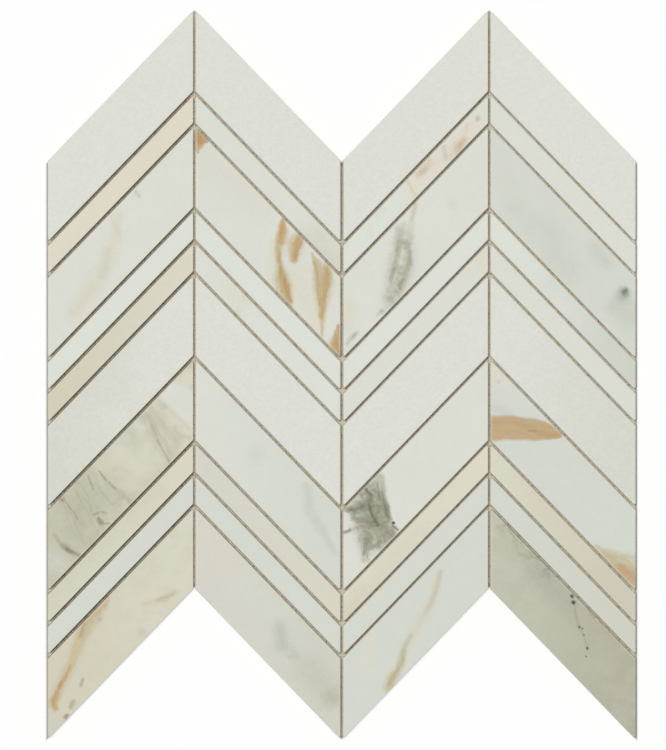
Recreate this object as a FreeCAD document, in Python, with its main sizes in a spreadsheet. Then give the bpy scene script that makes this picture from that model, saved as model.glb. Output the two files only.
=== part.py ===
import FreeCAD, Part
import os
import Sketcher

# A sheet of chevron mosaic wall tile: forty marble strips with open joints, on a glass-fibre mesh.
# It lies face up. X runs across the sheet, Y up its height, Z out of the polished face.
# The origin is under the middle of the sheet, on the plane that the mesh rests on.

doc = FreeCAD.newDocument("ChevronTileSheet")

# Driving sizes, in millimetres and degrees
DRIVING_SIZES = (
    ("wide_strip", 28.0, "width of a wide strip, square to its long edges"),
    ("narrow_strip", 10.0, "width of a narrow strip, square to its long edges"),
    ("stone_run", 72.0, "level run of every strip, which is the width of a column"),
    ("chevron_angle", 46.0, "slope of the strips from the level"),
    ("stone_thickness", 10.0, "thickness of the stones"),
    ("joint_width", 1.0, "open joint between stones"),
    ("arris", 0.3, "bevel that eases the edges of the polished face"),
    ("sharp_corner_radius", 0.8, "wear of the two sharp corners of a stone"),
    ("blunt_corner_radius", 0.5, "wear of the two blunt corners of a stone"),
    ("mesh_pitch", 5.0, "distance from yarn to yarn"),
    ("yarn_width", 0.8, "width of a flattened yarn"),
    ("yarn_thickness", 0.2, "thickness of a flattened yarn"),
    ("mesh_setback", 1.5, "distance from the edge of the stones in to the cut edge of the mesh"),
)
sizes = doc.addObject("Spreadsheet::Sheet", "Sizes")
for row, (alias, value, meaning) in enumerate(DRIVING_SIZES, start=1):
    sizes.set(f"A{row}", alias)
    sizes.set(f"B{row}", str(value))
    sizes.set(f"C{row}", meaning)
    sizes.setAlias(f"B{row}", alias)
doc.recompute()

# The laying pattern: the rows from the top down, and the way each column leans
ROWS = ("wide", "narrow", "wide", "narrow", "narrow", "wide", "wide", "narrow", "narrow", "wide")
RISING, FALLING = 1, -1
COLUMNS = (RISING, FALLING, RISING, FALLING)

# Points nearer than this are one point
SAME_PLACE = 0.001

# Lengths that several pieces share, worked out from the driving sizes
COLUMN_PITCH = "(Sizes.stone_run + Sizes.joint_width)"
SHEET_WIDTH = f"({len(COLUMNS)} * {COLUMN_PITCH} - Sizes.joint_width)"
COLUMN_HEIGHT = (
    f"(({ROWS.count('wide')} * Sizes.wide_strip + {ROWS.count('narrow')} * Sizes.narrow_strip"
    f" + {len(ROWS) - 1} * Sizes.joint_width) / cos(Sizes.chevron_angle))"
)
RISE = "(Sizes.stone_run * tan(Sizes.chevron_angle))"
SHEET_HEIGHT = f"({COLUMN_HEIGHT} + {RISE})"


def new_body(name):
    """An empty body with its own label."""
    body = doc.addObject("PartDesign::Body", name)
    body.Label = name
    return body


def new_sketch(body, name):
    """An empty sketch on the body's own level plane."""
    level_plane = next(part for part in body.Origin.OriginFeatures if part.Role == "XY_Plane")
    sketch = body.newObject("Sketcher::SketchObject", f"{body.Name}_{name}")
    sketch.AttachmentSupport = (level_plane, [""])
    sketch.MapMode = "FlatFace"
    return sketch


def new_feature(body, kind, name, expressions):
    """A feature of the body, with its sizes bound to expressions."""
    feature = body.newObject(f"PartDesign::{kind}", f"{body.Name}_{name}")
    for property_name, expression in expressions.items():
        feature.setExpression(property_name, expression)
    return feature


def value_of(body, expression):
    """The present value of an expression on the driving sizes."""
    return float(body.evalExpression(expression))


def draw_outline(body, sketch, corners):
    """Draws a closed outline whose corners are pairs of expressions, across and up from the origin."""
    first = sketch.GeometryCount
    points = [
        FreeCAD.Vector(value_of(body, across), value_of(body, up), 0) for across, up in corners
    ]
    for start, end in zip(points, points[1:] + points[:1]):
        sketch.addGeometry(Part.LineSegment(start, end))
    for number, ((across, up), point) in enumerate(zip(corners, points)):
        line = first + number
        line_before = first + (number - 1) % len(corners)
        sketch.addConstraint(Sketcher.Constraint("Coincident", line_before, 2, line, 1))
        for kind, start, expression in (("DistanceX", point.x, across), ("DistanceY", point.y, up)):
            index = sketch.addConstraint(Sketcher.Constraint(kind, -1, 1, line, 1, start))
            sketch.setExpression(f"Constraints[{index}]", expression)


def place(body, across, up, height):
    """Puts a body where three expressions say."""
    for axis, expression in (("x", across), ("y", up), ("z", height)):
        body.setExpression(f"Placement.Base.{axis}", expression)


def upright_edges(shape, corners):
    """Names of the upright edges of a shape that stand at the given corners."""
    names = []
    for number, edge in enumerate(shape.Edges, start=1):
        foot, head = edge.Vertexes[0].Point, edge.Vertexes[-1].Point
        upright = foot.distanceToPoint(FreeCAD.Vector(head.x, head.y, foot.z)) < SAME_PLACE
        level_foot = FreeCAD.Vector(foot.x, foot.y, 0)
        if upright and any(level_foot.distanceToPoint(corner) < SAME_PLACE for corner in corners):
            names.append(f"Edge{number}")
    return names


def top_face(shape):
    """Name of the highest level face of a shape."""
    highest = max(range(len(shape.Faces)), key=lambda number: shape.Faces[number].CenterOfMass.z)
    return f"Face{highest + 1}"


def make_stone(name, kind, lean, across, up):
    """One sawn marble strip; its low sharp corner stands at across, up."""
    body = new_body(name)
    profile = new_sketch(body, "profile")
    side_height = f"(Sizes.{kind}_strip / cos(Sizes.chevron_angle))"
    corners = (
        ("0", "0"),
        (f"{lean} * Sizes.stone_run", RISE),
        (f"{lean} * Sizes.stone_run", f"{RISE} + {side_height}"),
        ("0", side_height),
    )
    draw_outline(body, profile, corners)
    slab = new_feature(body, "Pad", "slab", {"Length": "Sizes.stone_thickness"})
    slab.Profile = profile
    doc.recompute()
    points = [FreeCAD.Vector(value_of(body, x), value_of(body, y), 0) for x, y in corners]
    sharp = new_feature(body, "Fillet", "sharp_corners", {"Radius": "Sizes.sharp_corner_radius"})
    sharp.Base = (slab, upright_edges(slab.Shape, points[0::2]))
    doc.recompute()
    blunt = new_feature(body, "Fillet", "blunt_corners", {"Radius": "Sizes.blunt_corner_radius"})
    blunt.Base = (sharp, upright_edges(sharp.Shape, points[1::2]))
    doc.recompute()
    eased = new_feature(body, "Chamfer", "eased_edges", {"Size": "Sizes.arris"})
    eased.Base = (blunt, [top_face(blunt.Shape)])
    place(body, across, up, "2 * Sizes.yarn_thickness")
    return body


def make_stones():
    """All the stones, column by column and from the top row down."""
    stones = []
    for column, lean in enumerate(COLUMNS):
        low_side = "0" if lean == RISING else "Sizes.stone_run"
        across = f"{column} * {COLUMN_PITCH} - {SHEET_WIDTH} / 2 + {low_side}"
        for row, kind in enumerate(ROWS):
            below = ROWS[row + 1:]
            up = (
                f"({below.count('wide')} * (Sizes.wide_strip + Sizes.joint_width)"
                f" + {below.count('narrow')} * (Sizes.narrow_strip + Sizes.joint_width))"
                f" / cos(Sizes.chevron_angle) - {SHEET_HEIGHT} / 2"
            )
            name = f"column_{column + 1}_row_{row + 1:02d}_{kind}"
            stones.append(make_stone(name, kind, lean, across, up))
    return stones


# The cut edge of the mesh follows the zigzag of the stones, set back from it all round
HALF_JOINT_RISE = "(Sizes.joint_width / 2 * tan(Sizes.chevron_angle))"
SETBACK_RISE = "(Sizes.mesh_setback * tan(Sizes.chevron_angle))"
SETBACK_DROP = "(Sizes.mesh_setback / cos(Sizes.chevron_angle))"
MESH_PEAK = f"({SHEET_HEIGHT} / 2 + {HALF_JOINT_RISE} - {SETBACK_DROP})"
MESH_VALLEY = f"({MESH_PEAK} - {COLUMN_PITCH} * tan(Sizes.chevron_angle))"
MESH_COLUMN_HEIGHT = f"({COLUMN_HEIGHT} - 2 * {SETBACK_DROP})"
MESH_HALF_WIDTH = f"({SHEET_WIDTH} / 2 - Sizes.mesh_setback)"

# Before it is cut, the mesh reaches past the stones by this much each way from the middle
LONG_YARN_HALVES = (f"({SHEET_WIDTH} / 2 + Sizes.mesh_pitch)", f"({SHEET_HEIGHT} / 2 + Sizes.mesh_pitch)")
UNCUT_MESH_HALVES = tuple(f"({half} + Sizes.mesh_pitch)" for half in LONG_YARN_HALVES)


def mesh_edge_corners():
    """The corners of the cut edge of the mesh: along the top, then back along the bottom."""
    top = []
    for side in range(len(COLUMNS) + 1):
        peak = COLUMNS[side] == FALLING if side < len(COLUMNS) else COLUMNS[-1] == RISING
        level = MESH_PEAK if peak else MESH_VALLEY
        across = f"({side} - {len(COLUMNS)} / 2) * {COLUMN_PITCH}"
        if side == 0 or side == len(COLUMNS):
            across = f"-{MESH_HALF_WIDTH}" if side == 0 else MESH_HALF_WIDTH
            turn = "-" if peak else "+"
            level = f"{level} {turn} {HALF_JOINT_RISE} {turn} {SETBACK_RISE}"
        top.append((across, level))
    bottom = [(across, f"{level} - {MESH_COLUMN_HEIGHT}") for across, level in reversed(top)]
    return top + bottom


def rectangle(half_width, half_height, across="0", up="0"):
    """The corners of a rectangle about a point, as expressions."""
    return [
        (f"{across} - {half_width}", f"{up} - {half_height}"),
        (f"{across} + {half_width}", f"{up} - {half_height}"),
        (f"{across} + {half_width}", f"{up} + {half_height}"),
        (f"{across} - {half_width}", f"{up} + {half_height}"),
    ]


def make_yarns(name, spread_axis, spread, first_yarn, height):
    """A layer of like yarns, spread evenly over the sheet and cut off at the zigzag edge."""
    body = new_body(name)
    body.AllowCompound = True
    gaps = f"floor(({spread} - Sizes.yarn_width) / Sizes.mesh_pitch)"
    yarn_profile = new_sketch(body, "yarn_profile")
    draw_outline(body, yarn_profile, first_yarn(f"(-{gaps} * Sizes.mesh_pitch / 2)"))
    yarn = new_feature(body, "Pad", "yarn", {"Length": "Sizes.yarn_thickness"})
    yarn.Profile = yarn_profile
    doc.recompute()
    spacing = {"Offset": "Sizes.mesh_pitch", "Occurrences": f"{gaps} + 1"}
    layer = new_feature(body, "LinearPattern", "layer", spacing)
    layer.Originals = [yarn]
    layer.Direction = (yarn_profile, [spread_axis])
    layer.Mode = "Spacing"
    body.Tip = layer
    doc.recompute()
    offcut_profile = new_sketch(body, "offcut_profile")
    draw_outline(body, offcut_profile, rectangle(*UNCUT_MESH_HALVES))
    draw_outline(body, offcut_profile, mesh_edge_corners())
    offcut = new_feature(body, "Pocket", "offcut", {})
    offcut.Profile = offcut_profile
    offcut.Type = "ThroughAll"
    offcut.Reversed = True
    place(body, "0", "0", height)
    doc.recompute()
    if not offcut.Shape.Volume < layer.Shape.Volume:
        raise RuntimeError(f"{name}: the ends of the yarns were not cut off")
    return body


def make_mesh():
    """The backing mesh: yarns up the sheet against the stones, and yarns across it underneath."""
    half_yarn = "(Sizes.yarn_width / 2)"
    half_width, half_height = LONG_YARN_HALVES
    warp = make_yarns(
        "mesh_warp_yarns",
        "H_Axis",
        f"2 * {MESH_HALF_WIDTH}",
        lambda place: rectangle(half_yarn, half_height, across=place),
        "Sizes.yarn_thickness",
    )
    # The first and last yarn across lie far enough in from the points to be held by a yarn up the sheet
    weft = make_yarns(
        "mesh_weft_yarns",
        "V_Axis",
        f"(2 * {MESH_PEAK} - Sizes.mesh_pitch)",
        lambda place: rectangle(half_width, half_yarn, up=place),
        "0",
    )
    return [warp, weft]


pieces = make_stones() + make_mesh()
doc.recompute()
for item in doc.Objects:
    if "Invalid" in item.State or "Error" in item.State:
        raise RuntimeError(f"{item.Label} failed: {item.State}")
for piece in pieces:
    if piece.Shape.isNull() or not piece.Shape.isValid():
        raise RuntimeError(f"{piece.Label} has no valid shape")
os.makedirs("parts", exist_ok=True)
for piece in pieces:
    piece.Shape.exportStep(os.path.join("parts", f"{piece.Label}.step"))
    print(f"{piece.Label}: {len(piece.Shape.Solids)} solids, {piece.Shape.Volume:.1f} cubic mm")
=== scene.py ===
"""Looks of the chevron mosaic wall tile: marble strips in four slanting columns on a glass-fibre mesh.

Lengths are millimetres in the sheet's own frame unless a name says otherwise: X runs to the right, Y up the
sheet and Z out of its polished faces. Metres come in where a mesh, a lamp or the camera is handed to Blender.
"""

import logging
import math
from collections.abc import Callable, Iterator, Mapping, Sequence
from contextlib import contextmanager
from dataclasses import dataclass
from enum import Enum
from itertools import pairwise
from typing import Any

import bmesh
import bpy
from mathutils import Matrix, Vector


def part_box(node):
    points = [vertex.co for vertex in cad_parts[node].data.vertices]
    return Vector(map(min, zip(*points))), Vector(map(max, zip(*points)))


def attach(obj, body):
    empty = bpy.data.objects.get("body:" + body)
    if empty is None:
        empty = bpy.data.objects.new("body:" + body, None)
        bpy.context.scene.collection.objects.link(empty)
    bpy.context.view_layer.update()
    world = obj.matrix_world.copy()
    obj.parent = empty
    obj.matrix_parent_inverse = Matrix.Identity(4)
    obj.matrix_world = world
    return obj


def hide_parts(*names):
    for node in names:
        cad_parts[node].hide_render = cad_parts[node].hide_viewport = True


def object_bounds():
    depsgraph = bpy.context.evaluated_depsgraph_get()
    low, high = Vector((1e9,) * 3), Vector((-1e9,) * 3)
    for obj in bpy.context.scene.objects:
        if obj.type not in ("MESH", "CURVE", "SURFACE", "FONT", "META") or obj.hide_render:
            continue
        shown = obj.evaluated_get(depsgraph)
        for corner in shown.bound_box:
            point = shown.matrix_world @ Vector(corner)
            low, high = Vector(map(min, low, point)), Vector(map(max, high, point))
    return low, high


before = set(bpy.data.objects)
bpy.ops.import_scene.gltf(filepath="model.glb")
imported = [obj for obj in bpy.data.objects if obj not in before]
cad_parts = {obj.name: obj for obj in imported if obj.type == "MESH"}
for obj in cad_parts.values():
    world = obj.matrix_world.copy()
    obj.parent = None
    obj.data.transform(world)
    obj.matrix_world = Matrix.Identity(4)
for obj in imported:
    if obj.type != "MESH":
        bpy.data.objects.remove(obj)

CAD_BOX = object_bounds()
METRE = 1000.0
BODY = "root"
LOG = logging.getLogger("chevron_tile")

MEAN = 0.5  # what a noise is on average
BLOTS = (0.42, 0.62)  # where a noise's blots are empty and full
SOFT, BROKEN, FINE = 2.0, 3.0, 4.0  # how many finer layers lie on a noise

Point = tuple[float, float, float]
Colour = tuple[float, float, float, float]


def linear(level: int) -> float:
    """Turns an 8-bit screen level into a scene-linear value.

    Args:
        level: the level, from 0 to 255

    Returns:
        The value, from 0 to 1.
    """
    share = level / 255
    if share <= 0.04045:
        return share / 12.92
    return ((share + 0.055) / 1.055) ** 2.4


class Tone(Enum):
    """Colours of the marbles, their veins, the joints, the yarn and the table, some of them painted shade, as
    red, green and blue screen levels.
    """

    SUGAR = (222, 223, 214)
    FROST = (222, 225, 215)
    CHALK = (220, 222, 212)
    HAZE = (214, 217, 207)
    DIM = (206, 210, 199)
    # Sugary marble painted darker: painted shade at the ends of the sheet, where the light falls off.
    GREY_SUGAR = (214, 216, 205)
    MIST = (212, 216, 206)
    CUSTARD = (221, 217, 200)
    IVORY = (219, 215, 199)
    CREAM = (223, 217, 200)
    PARCHMENT = (216, 215, 198)
    OATMEAL = (206, 202, 184)
    BUTTER = (211, 207, 186)
    SEDGE = (208, 209, 187)
    PUTTY = (196, 195, 173)
    LILAC = (207, 205, 195)
    ASH = (201, 200, 189)
    PALE_LILAC = (214, 213, 202)
    PALE_ASH = (208, 209, 196)
    PALE_SAGE = (194, 195, 177)
    SAGE = (189, 188, 171)
    MOSS = (178, 177, 156)
    STRAW = (210, 194, 152)
    ROSE = (208, 186, 160)
    DUST = (198, 187, 158)
    SAND = (194, 178, 138)
    FAWN = (190, 163, 120)
    HONEY = (187, 154, 101)
    GOLD = (200, 166, 114)
    AMBER = (198, 146, 90)
    OCHRE = (176, 140, 92)
    RUST = (140, 100, 66)
    UMBER = (112, 98, 68)
    PEAT = (62, 58, 42)
    LICHEN = (112, 114, 98)
    FOG = (138, 139, 122)
    DOVE = (168, 160, 150)
    OLIVE = (150, 146, 108)
    SLATE = (140, 143, 136)
    SAWDUST = (228, 222, 206)
    BISCUIT = (225, 214, 194)
    # Painted shade: the table under the sheet, darker and warmer than the paper, seen through the joints.
    CARD = (228, 225, 212)
    # Dark brown painted shade for the joints' edges, with some glue staining in it.
    GRIME = (97, 86, 66)
    # Painted shadow: the grey ring on the table round the sheet's outline.
    CREASE = (170, 170, 162)
    GLUE = (226, 216, 190)
    GLASS_YARN = (232, 229, 216)
    YARN_SHADE = (196, 188, 166)
    PAPER = (252, 252, 252)

    @property
    def linear(self) -> Colour:
        """The tone as a scene-linear colour with full alpha."""
        red, green, blue = self.value
        return linear(red), linear(green), linear(blue), 1.0


class Signal:
    """The value of one socket in a finish's node tree, for use in ordinary arithmetic."""

    def __init__(self, recipe: "Recipe", socket: bpy.types.NodeSocket) -> None:
        """Keeps the socket.

        Args:
            recipe: the recipe that the socket belongs to
            socket: the output socket
        """
        self.recipe = recipe
        self.socket = socket

    def __add__(self, other: "Signal | float") -> "Signal":
        """This value plus another."""
        return self.recipe.math("ADD", self, other)

    def __radd__(self, other: float) -> "Signal":
        """A number plus this value."""
        return self.recipe.math("ADD", other, self)

    def __sub__(self, other: "Signal | float") -> "Signal":
        """This value less another."""
        return self.recipe.math("SUBTRACT", self, other)

    def __rsub__(self, other: float) -> "Signal":
        """A number less this value."""
        return self.recipe.math("SUBTRACT", other, self)

    def __mul__(self, other: "Signal | float") -> "Signal":
        """This value times another."""
        return self.recipe.math("MULTIPLY", self, other)

    def __truediv__(self, other: "Signal | float") -> "Signal":
        """This value over another."""
        return self.recipe.math("DIVIDE", self, other)

    def __abs__(self) -> "Signal":
        """This value without its sign."""
        return self.recipe.math("ABSOLUTE", self)

    def clamp(self) -> "Signal":
        """This value held between 0 and 1."""
        return self.recipe.node("ShaderNodeClamp", inputs={"Value": self})

    def least(self, other: "Signal | float") -> "Signal":
        """The smaller of this value and another."""
        return self.recipe.math("MINIMUM", self, other)

    def most(self, other: "Signal | float") -> "Signal":
        """The larger of this value and another."""
        return self.recipe.math("MAXIMUM", self, other)

    def fade(self, empty: float, full: float) -> "Signal":
        """A smooth step on this value.

        Args:
            empty: where the step is 0
            full: where the step is 1, on either side of empty

        Returns:
            The step, from 0 to 1.
        """
        return self.recipe.node(
            "ShaderNodeMapRange",
            {"interpolation_type": "SMOOTHSTEP"},
            {"Value": self, "From Min": empty, "From Max": full},
        )


Feed = Signal | float | Sequence[float]


class Recipe:
    """The node tree of one finish, written as expressions."""

    def __init__(self, owner: bpy.types.Material | bpy.types.World) -> None:
        """Empties the owner's node tree.

        Args:
            owner: the material or world that the recipe makes
        """
        owner.use_nodes = True
        self.tree = owner.node_tree
        self.tree.nodes.clear()

    def node(
        self,
        kind: str,
        settings: Mapping[str, Any] | None = None,
        inputs: Mapping[str | int, Feed] | None = None,
        output: str | int = 0,
    ) -> Signal:
        """Adds one node.

        Args:
            kind: the node's type
            settings: its own settings, set before its sockets
            inputs: the value or the signal of each input socket, by name or place
            output: the output socket that is wanted

        Returns:
            The wanted output.
        """
        made = self.tree.nodes.new(kind)
        for name, value in (settings or {}).items():
            setattr(made, name, value)
        for name, value in (inputs or {}).items():
            if isinstance(value, Signal):
                self.tree.links.new(value.socket, made.inputs[name])
            else:
                made.inputs[name].default_value = value
        return Signal(self, made.outputs[output] if made.outputs else None)

    def math(self, operation: str, *values: Signal | float) -> Signal:
        """One Math node on signals and numbers."""
        return self.node("ShaderNodeMath", {"operation": operation}, dict(enumerate(values)))

    def vector(self, operation: str, *values: Feed, output: int = 0) -> Signal:
        """One Vector Math node; output 1 is its plain number, such as a length."""
        return self.node("ShaderNodeVectorMath", {"operation": operation}, dict(enumerate(values)), output)

    def scaled(self, colour: Feed, gain: Signal) -> Signal:
        """A colour or a vector times a number."""
        return self.node("ShaderNodeVectorMath", {"operation": "SCALE"}, {0: colour, "Scale": gain})

    def mix(self, share: Signal | float, first: Signal | Colour, second: Signal | Colour) -> Signal:
        """The first colour turning into the second as share goes from 0 to 1."""
        return self.node("ShaderNodeMix", {"data_type": "RGBA"}, {0: share, 6: first, 7: second}, output=2)

    def axes(self, vector: Signal) -> tuple[Signal, Signal, Signal]:
        """The three parts of a vector.

        Args:
            vector: the vector

        Returns:
            Its X, Y and Z.
        """
        x = self.node("ShaderNodeSeparateXYZ", inputs={0: vector})
        sockets = x.socket.node.outputs
        return x, Signal(self, sockets[1]), Signal(self, sockets[2])

    def joined(self, x: Signal | float, y: Signal | float, z: Signal | float) -> Signal:
        """A vector of three numbers."""
        return self.node("ShaderNodeCombineXYZ", inputs={0: x, 1: y, 2: z})

    def place(self) -> Signal:
        """The shaded point in millimetres of the sheet's frame."""
        point = self.node("ShaderNodeTexCoord", output="Object")
        return self.node("ShaderNodeVectorMath", {"operation": "SCALE"}, {0: point, "Scale": METRE})

    def facing(self) -> Signal:
        """How far the surface faces up out of the sheet, from -1 to 1."""
        return self.axes(self.node("ShaderNodeNewGeometry", output="Normal"))[2]

    def noise(self, where: Signal, size: float, detail: float, output: str = "Fac") -> Signal:
        """Soft noise.

        Args:
            where: the point, in millimetres
            size: the size of its largest lumps, in millimetres
            detail: how many finer layers lie on them
            output: Fac for a number, Color for three of them

        Returns:
            The noise, about MEAN.
        """
        return self.node(
            "ShaderNodeTexNoise", inputs={"Vector": where, "Scale": 1 / size, "Detail": detail}, output=output
        )

    def crystals(self, where: Signal, size: float) -> Signal:
        """A number for each crystal of a broken stone, from 0 to 1.

        Args:
            where: the point, in millimetres
            size: the size of a crystal, in millimetres

        Returns:
            The number.
        """
        cells = self.node("ShaderNodeTexVoronoi", inputs={"Vector": where, "Scale": 1 / size}, output="Color")
        return self.axes(cells)[0]

    def bump(self, height: Signal, depth: float) -> Signal:
        """A bumped normal.

        Args:
            height: the height, from 0 to 1
            depth: what a height of 1 measures, in millimetres

        Returns:
            The normal.
        """
        return self.node("ShaderNodeBump", inputs={"Height": height, "Distance": depth / METRE})

    def surface(self, constants: Mapping[str, Feed], painted: Mapping[str, Feed]) -> None:
        """Ends a material in its shader.

        Args:
            constants: what is the same all over, set on the shader's own sockets
            painted: what changes over the surface
        """
        shader = self.node("ShaderNodeBsdfPrincipled", inputs={**constants, **painted})
        self.node("ShaderNodeOutputMaterial", inputs={"Surface": shader})


class Strip(Enum):
    """The two strips that the stones are cut from, by their width."""

    WIDE = 28.0
    NARROW = 10.0


class Lean(Enum):
    """Which way a column's stones climb from left to right."""

    RISING = 1.0
    FALLING = -1.0


@dataclass(frozen=True)
class Layout:
    """What all stones and the mesh share, as the sheet is set out."""

    angle: float = math.radians(46)
    run: float = 72.0
    joint: float = 1.0
    wide_rows: tuple[int, ...] = (1, 3, 6, 7, 10)
    rows: int = 10
    columns: int = 4
    mesh_pitch: float = 5.0
    mesh_setback: float = 1.5

    @property
    def slope(self) -> float:
        """Rise over run of a rising column."""
        return math.tan(self.angle)

    @property
    def column_pitch(self) -> float:
        """From one column's middle to the next one's."""
        return self.run + self.joint

    def height_of(self, strip: Strip) -> float:
        """How tall a strip stands where a vertical line crosses it."""
        return strip.value / math.cos(self.angle)


LAYOUT = Layout()


@dataclass(frozen=True)
class Stone:
    """One marble strip, as its CAD node lies in the sheet."""

    column: int
    row: int

    # Painted shade at the joints' edges, at the top and at the foot of each column, with some glue staining
    # in it.
    STAIN_AND_SHADE_BY_COLUMN = {1: (0.95, 1.0), 2: (0.35, 0.45), 3: (0.6, 0.2), 4: (0.0, 0.5)}

    @property
    def stain_and_shade(self) -> float:
        """How dark the stone is painted along its joints: painted shade that differs by column and from top
        to foot, with some glue staining in it.
        """
        top, foot = self.STAIN_AND_SHADE_BY_COLUMN[self.column]
        return top + (foot - top) * (self.row - 1) / (LAYOUT.rows - 1)

    @property
    def strip(self) -> Strip:
        """The strip that it is cut from."""
        return Strip.WIDE if self.row in LAYOUT.wide_rows else Strip.NARROW

    @property
    def lean(self) -> Lean:
        """Which way it climbs."""
        return Lean.RISING if self.column % 2 else Lean.FALLING

    @property
    def name(self) -> str:
        """Its CAD node's name."""
        return f"column_{self.column}_row_{self.row:02d}_{self.strip.name.lower()}"

    @property
    def centre(self) -> Vector:
        """Its middle."""
        low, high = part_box(self.name)
        return (low + high) / 2 * METRE

    @property
    def face(self) -> float:
        """The height of its polished face."""
        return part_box(self.name)[1].z * METRE

    def from_joint(self, recipe: Recipe, place: Signal, ends: bool = True) -> Signal:
        """How far a point lies from the nearest joint beside the stone, in millimetres.

        Args:
            recipe: the recipe that reads it
            place: the point
            ends: whether every upright joint at its ends counts, and not the sheet's middle one alone

        Returns:
            The distance from the nearest side that faces another stone.
        """
        x, y, _ = recipe.axes(place)
        across = x - self.centre.x
        up = (y - self.centre.y - across * (self.lean.value * LAYOUT.slope)) * math.cos(LAYOUT.angle)
        middle = LAYOUT.columns // 2
        sides = (
            (up + self.strip.value / 2, self.row < LAYOUT.rows),
            (self.strip.value / 2 - up, self.row > 1),
            (across + LAYOUT.run / 2, self.column > 1 and (ends or self.column == middle + 1)),
            (LAYOUT.run / 2 - across, self.column < LAYOUT.columns and (ends or self.column == middle)),
        )
        nearest, *others = [distance for distance, joined in sides if joined]
        for distance in others:
            nearest = nearest.least(distance)
        return nearest

    def along(self, recipe: Recipe, place: Signal) -> Signal:
        """Where a point lies from the stone's left end, 0, to its right end, 1."""
        x, _, _ = recipe.axes(place)
        return (x - (self.centre.x - LAYOUT.run / 2)) / LAYOUT.run


@dataclass(frozen=True)
class Vein:
    """One vein, wash or spot in a marble, laid down like the stroke of a brush.

    Its path holds points of the sheet, each as x, y and the stroke's half width there.
    """

    tone: Tone
    strength: float
    path: tuple[Point, ...]
    edge: float
    fibre: float
    halo: Tone | None
    lace: float
    patch: float

    LONG_FIBRE = 9.0
    SHORT_FIBRE = 1.1
    STREAKS = (0.35, 0.65)
    HALO = (2.6, 0.6)
    HALO_SHARE = 0.8
    THREAD = 0.07

    def paint(self, recipe: Recipe, place: Signal, ragged: Signal, colour: Signal) -> Signal:
        """Lays the stroke on a colour, over its halo where it has one.

        Args:
            recipe: the recipe that paints it
            place: the point, wandering a little so that no side is straight
            ragged: fine noise that breaks up the stroke's sides, about 0
            colour: the colour so far

        Returns:
            The colour with the stroke.
        """
        pairs = list(pairwise(self.path)) or [(self.path[0], self.path[0])]
        reach = self.reach(recipe, place, *pairs[0])
        for start, end in pairs[1:]:
            reach = reach.least(self.reach(recipe, place, start, end))
        reach = reach + ragged * self.edge
        if self.halo:
            veil = reach.fade(*self.HALO) * (self.strength * self.HALO_SHARE)
            colour = recipe.mix(veil, colour, self.halo.linear)
        cover = reach.fade(1 + self.edge, 1 - self.edge) * self.strength
        if self.lace:
            cover = cover * self.threads(recipe, place)
        elif self.patch:
            cover = cover * recipe.noise(place, self.patch, BROKEN).fade(*BLOTS)
        elif self.fibre and len(self.path) > 1:
            cover = cover * (1 - self.fibres(recipe, place) * self.fibre)
        return recipe.mix(cover, colour, self.tone.linear)

    def reach(self, recipe: Recipe, place: Signal, start: Point, end: Point) -> Signal:
        """How far a point lies from one stretch of the path, as a share of its half width there.

        Args:
            recipe: the recipe that paints the stroke
            place: the point
            start: the stretch's first point
            end: the stretch's last point

        Returns:
            The distance, 1 on the stroke's side.
        """
        ahead = recipe.vector("SUBTRACT", place, (start[0], start[1], 0.0))
        run = Vector((end[0] - start[0], end[1] - start[1], 0.0))
        if run.length == 0:
            return recipe.vector("LENGTH", ahead, output=1) / start[2]
        share = recipe.vector("DOT_PRODUCT", ahead, tuple(run / run.length_squared), output=1).clamp()
        aside = recipe.vector("DISTANCE", ahead, recipe.scaled(tuple(run), share), output=1)
        width = recipe.math("MULTIPLY_ADD", share, end[2] - start[2], start[2])
        return aside / width

    def threads(self, recipe: Recipe, place: Signal) -> Signal:
        """The fine net of threads into which a stroke breaks up.

        Args:
            recipe: the recipe that paints the stroke
            place: the point

        Returns:
            The threads, from 0 to 1.
        """
        return abs(recipe.noise(place, self.lace, SOFT) - MEAN).fade(self.THREAD, 0.0)

    def fibres(self, recipe: Recipe, place: Signal) -> Signal:
        """The streaks along the stroke in which its colour thins out.

        Args:
            recipe: the recipe that paints the stroke
            place: the point

        Returns:
            The streaks, from 0 to 1.
        """
        first, last = self.path[0], self.path[-1]
        heading = math.atan2(last[1] - first[1], last[0] - first[0])
        fibre = (self.LONG_FIBRE, self.SHORT_FIBRE, 1.0)
        laid = recipe.node(
            "ShaderNodeMapping",
            {"vector_type": "TEXTURE"},
            {"Vector": place, "Rotation": (0.0, 0.0, heading), "Scale": fibre},
        )
        return recipe.noise(laid, 1.0, SOFT).fade(*self.STREAKS)


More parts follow.
